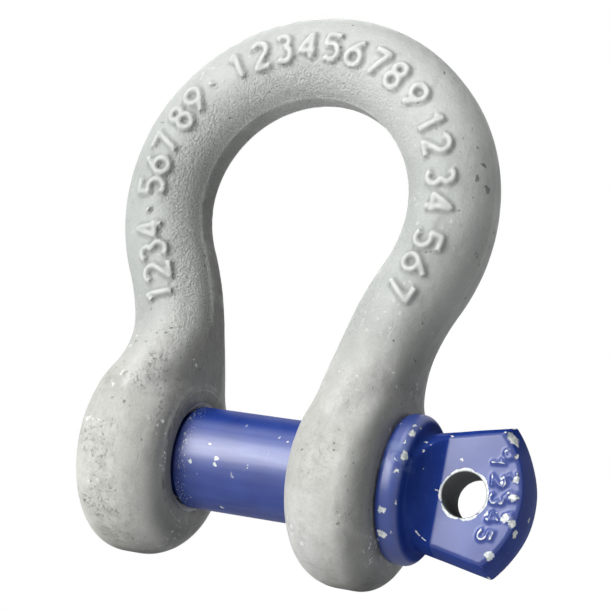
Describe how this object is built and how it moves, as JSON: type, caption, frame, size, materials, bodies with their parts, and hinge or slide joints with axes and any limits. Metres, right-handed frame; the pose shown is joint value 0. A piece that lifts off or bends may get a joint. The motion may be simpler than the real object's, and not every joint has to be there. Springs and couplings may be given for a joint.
{
  "type": "bow shackle",
  "caption": "Forged bow shackle: a round bow with thick rounded eyes, closed by a screw pin with a collar and a flat drilled lug.",
  "frame": {"origin": "on the pin's axis, at the middle of the gap between the two eyes", "axes": "+X along the pin towards its head, +Z from the pin to the crown of the bow, Y through the thickness"},
  "size_m": [0.1102, 0.047, 0.1295],
  "materials": {
    "galvanised_steel": "matte hot-dip galvanised forging",
    "blue_pin": "semi-gloss blue coating"
  },
  "bodies": {
    "forged_bow": {"bow": "galvanised_steel"},
    "pin_slider": {"pin_collar": "blue_pin"},
    "pin_turner": {"screw_pin": "blue_pin"}
  },
  "joints": [
    {"name": "pin_advance", "type": "slide", "parent": "forged_bow", "child": "pin_slider", "axis": [1, 0, 0], "range_m": [0, 0.105]},
    {"name": "pin_turn", "type": "hinge", "parent": "pin_slider", "child": "pin_turner", "pos_m": [0, 0, 0], "axis": [1, 0, 0], "range_deg": [0, 15120]}
  ],
  "couplings": [
    {"joint": "pin_advance", "follows": "pin_turn", "m_per_rad": 0.00039789}
  ]
}
